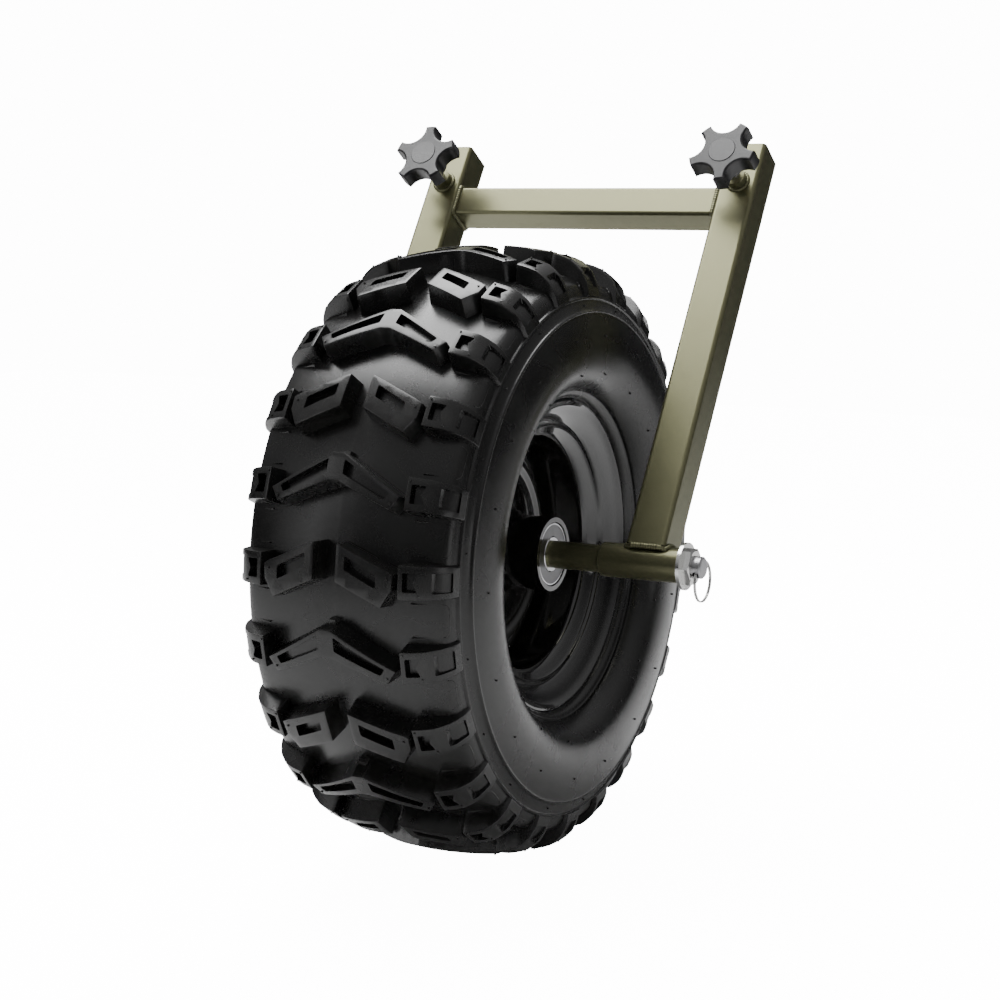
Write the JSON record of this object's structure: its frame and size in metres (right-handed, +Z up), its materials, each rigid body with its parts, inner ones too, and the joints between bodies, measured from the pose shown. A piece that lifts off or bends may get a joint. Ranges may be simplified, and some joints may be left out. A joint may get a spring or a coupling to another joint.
{
  "type": "game cart front wheel and fork",
  "caption": "Fat knobbly pneumatic wheel on a raked square-tube fork with star-knob clamps that fix it to a cart's frame.",
  "frame": {"origin": "point on the ground straight below the axle, midway between the fork's legs; the wheel's middle plane is 4 mm to its -X side", "axes": "+Z up, +X along the axle towards the nut and keeper ring, -Y the way the cart rolls; the fork leans back towards +Y"},
  "size_m": [0.3375, 0.445, 0.5357],
  "materials": {
    "olive_coat": "satin fine-textured olive powder coat",
    "black_coat": "gloss black powder coat",
    "zinc": "bright zinc plate",
    "bearing_steel": "ground bearing steel",
    "shield_steel": "plain pressed steel",
    "tyre": "semi-gloss black rubber",
    "tube_rubber": "matt black rubber",
    "knob_plastic": "satin charcoal moulded plastic",
    "knob_cap_plastic": "satin charcoal moulded plastic",
    "brass": "plain machined brass"
  },
  "bodies": {
    "fork": {"left_fork_leg": "olive_coat", "right_fork_leg": "olive_coat", "cross_tube": "olive_coat", "cross_tube_welds": "olive_coat", "leg_foot_welds": "olive_coat", "left_axle_sleeve": "olive_coat", "right_axle_sleeve": "olive_coat", "left_spacer_tube": "olive_coat", "right_spacer_tube": "olive_coat", "left_knob_boss": "olive_coat", "right_knob_boss": "olive_coat", "left_knob_boss_weld": "olive_coat", "right_knob_boss_weld": "olive_coat", "axle_bolt": "zinc", "axle_washers": "zinc", "axle_nut": "zinc", "left_bearing_inner_race": "bearing_steel", "right_bearing_inner_race": "bearing_steel", "bearing_distance_tube": "zinc"},
    "wheel": {"tyre": "tyre", "inner_tube": "tube_rubber", "left_rim_half": "black_coat", "right_rim_half": "black_coat", "rim_seam_weld": "black_coat", "hub_welds": "black_coat", "hub_tube": "black_coat", "left_bearing_outer_race": "bearing_steel", "right_bearing_outer_race": "bearing_steel", "left_bearing_shields": "shield_steel", "right_bearing_shields": "shield_steel", "valve_stem": "tube_rubber", "valve_core": "brass", "valve_cap": "tube_rubber"},
    "left_ball_set": {"left_bearing_balls": "bearing_steel", "left_bearing_cage": "shield_steel"},
    "right_ball_set": {"right_bearing_balls": "bearing_steel", "right_bearing_cage": "shield_steel"},
    "left_clamp_screw": {"left_knob_stud": "zinc"},
    "left_clamp_knob": {"left_knob": "knob_plastic", "left_knob_cap": "knob_cap_plastic", "left_knob_insert": "brass"},
    "right_clamp_screw": {"right_knob_stud": "zinc"},
    "right_clamp_knob": {"right_knob": "knob_plastic", "right_knob_cap": "knob_cap_plastic", "right_knob_insert": "brass"},
    "axle_keeper_ring": {"split_ring": "zinc"}
  },
  "joints": [
    {"name": "wheel_spin", "type": "hinge", "parent": "fork", "child": "wheel", "pos_m": [-0.004, 0, 0.2233], "axis": [1, 0, 0], "continuous": true},
    {"name": "left_cage_spin", "type": "hinge", "parent": "fork", "child": "left_ball_set", "pos_m": [-0.0527, 0, 0.2233], "axis": [1, 0, 0], "continuous": true},
    {"name": "right_cage_spin", "type": "hinge", "parent": "fork", "child": "right_ball_set", "pos_m": [0.0447, 0, 0.2233], "axis": [1, 0, 0], "continuous": true},
    {"name": "left_clamp_travel", "type": "slide", "parent": "fork", "child": "left_clamp_screw", "axis": [0, -0.829, 0.5592], "range_m": [-0.00251, 0.00376]},
    {"name": "left_knob_turn", "type": "hinge", "parent": "left_clamp_screw", "child": "left_clamp_knob", "pos_m": [-0.128, 0.14657, 0.50319], "axis": [0, -0.829, 0.5592], "range_deg": [-720, 1080]},
    {"name": "right_clamp_travel", "type": "slide", "parent": "fork", "child": "right_clamp_screw", "axis": [0, -0.829, 0.5592], "range_m": [-0.00251, 0.00376]},
    {"name": "right_knob_turn", "type": "hinge", "parent": "right_clamp_screw", "child": "right_clamp_knob", "pos_m": [0.128, 0.14657, 0.50319], "axis": [0, -0.829, 0.5592], "range_deg": [-720, 1080]},
    {"name": "keeper_ring_swing", "type": "hinge", "parent": "fork", "child": "axle_keeper_ring", "pos_m": [0.166, 0, 0.2233], "axis": [0, -0.829, -0.5592], "range_deg": [0, 90]}
  ],
  "couplings": [
    {"joint": "left_cage_spin", "follows": "wheel_spin", "ratio": 0.61507},
    {"joint": "right_cage_spin", "follows": "wheel_spin", "ratio": 0.61507},
    {"joint": "left_clamp_travel", "follows": "left_knob_turn", "m_per_rad": 0.00019894},
    {"joint": "right_clamp_travel", "follows": "right_knob_turn", "m_per_rad": 0.00019894}
  ]
}
